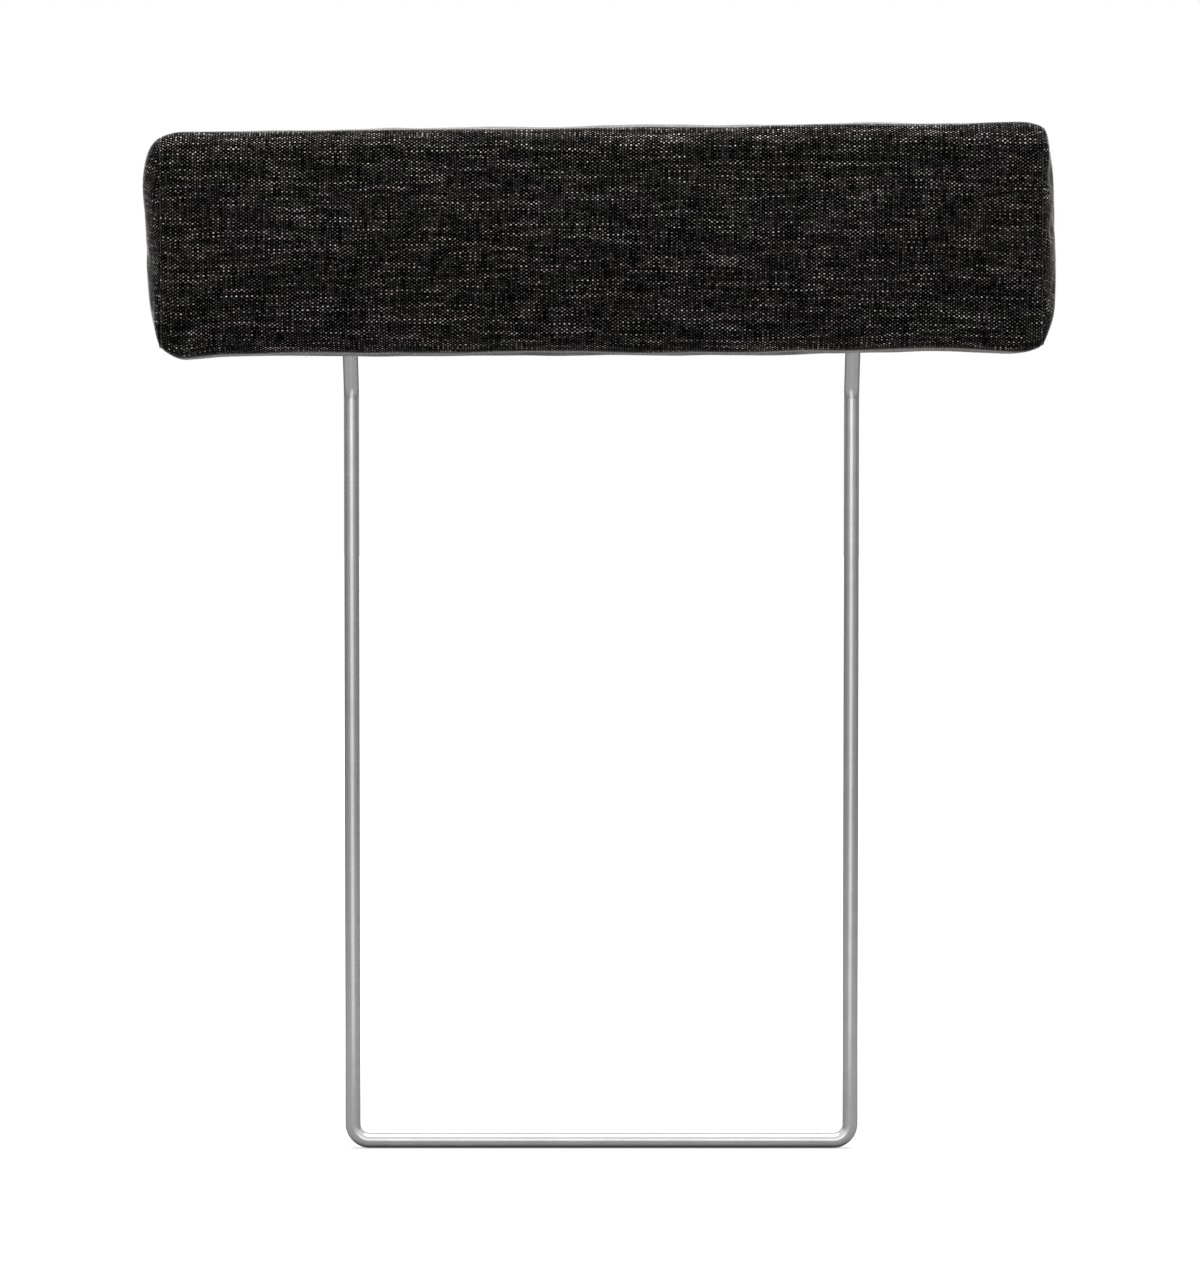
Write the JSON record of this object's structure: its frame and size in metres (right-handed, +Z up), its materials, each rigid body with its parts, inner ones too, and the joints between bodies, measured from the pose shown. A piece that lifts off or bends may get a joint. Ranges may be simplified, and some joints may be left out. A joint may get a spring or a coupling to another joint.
{
  "type": "sofa headrest",
  "caption": "Long padded neck cushion in grey tweed on a U-shaped bent steel rod frame that is pushed down behind a sofa's back cushion, with a zip in its back.",
  "frame": {"origin": "middle of the bottom bar's underside, midway between the two legs", "axes": "+Z up along the legs, -Y towards the front that the neck leans on, +X to the right seen from the front"},
  "size_m": [0.6, 0.0899, 0.674],
  "materials": {
    "satin_steel": "satin, nickel grey",
    "tweed_fabric": "slubby plain weave of black and grey yarns",
    "polyester_wadding": "matte, fluffy",
    "cushion_foam": "matte, open cells",
    "plywood": "sanded, uncoated",
    "zinc_plated_steel": "satin",
    "black_plastic": "matte",
    "zip_tape_cloth": "matte, woven",
    "zip_coil_nylon": "satin nylon",
    "zip_metal": "dark satin lacquer"
  },
  "bodies": {
    "headrest": {"back_foam": "cushion_foam", "backing_board": "plywood", "cover_end_left": "tweed_fabric", "cover_end_right": "tweed_fabric", "cover_main_panel": "tweed_fabric", "front_foam": "cushion_foam", "rod_end_cap_left": "black_plastic", "rod_end_cap_right": "black_plastic", "rod_saddle_lower_left": "zinc_plated_steel", "rod_saddle_lower_right": "zinc_plated_steel", "rod_saddle_upper_left": "zinc_plated_steel", "rod_saddle_upper_right": "zinc_plated_steel", "saddle_screw_lower_left_1": "zinc_plated_steel", "saddle_screw_lower_left_2": "zinc_plated_steel", "saddle_screw_lower_right_1": "zinc_plated_steel", "saddle_screw_lower_right_2": "zinc_plated_steel", "saddle_screw_upper_left_1": "zinc_plated_steel", "saddle_screw_upper_left_2": "zinc_plated_steel", "saddle_screw_upper_right_1": "zinc_plated_steel", "saddle_screw_upper_right_2": "zinc_plated_steel", "steel_rod_frame": "satin_steel", "wadding_end_left": "polyester_wadding", "wadding_end_right": "polyester_wadding", "wadding_wrap": "polyester_wadding", "zip_coil_lower": "zip_coil_nylon", "zip_coil_upper": "zip_coil_nylon", "zip_stop_bottom": "zip_metal", "zip_stop_lower": "zip_metal", "zip_stop_upper": "zip_metal", "zip_tape_lower": "zip_tape_cloth", "zip_tape_upper": "zip_tape_cloth"},
    "slider": {"zip_slider": "zip_metal"},
    "pull_tab": {"zip_pull": "zip_metal"}
  },
  "joints": [
    {"name": "zip_slide", "type": "slide", "parent": "headrest", "child": "slider", "axis": [1, 0, 0], "range_m": [0, 0.4824]},
    {"name": "pull_hinge", "type": "hinge", "parent": "slider", "child": "pull_tab", "pos_m": [-0.2412, 0.0092, 0.5547], "axis": [0, 0, 1], "range_deg": [0, 180]}
  ]
}
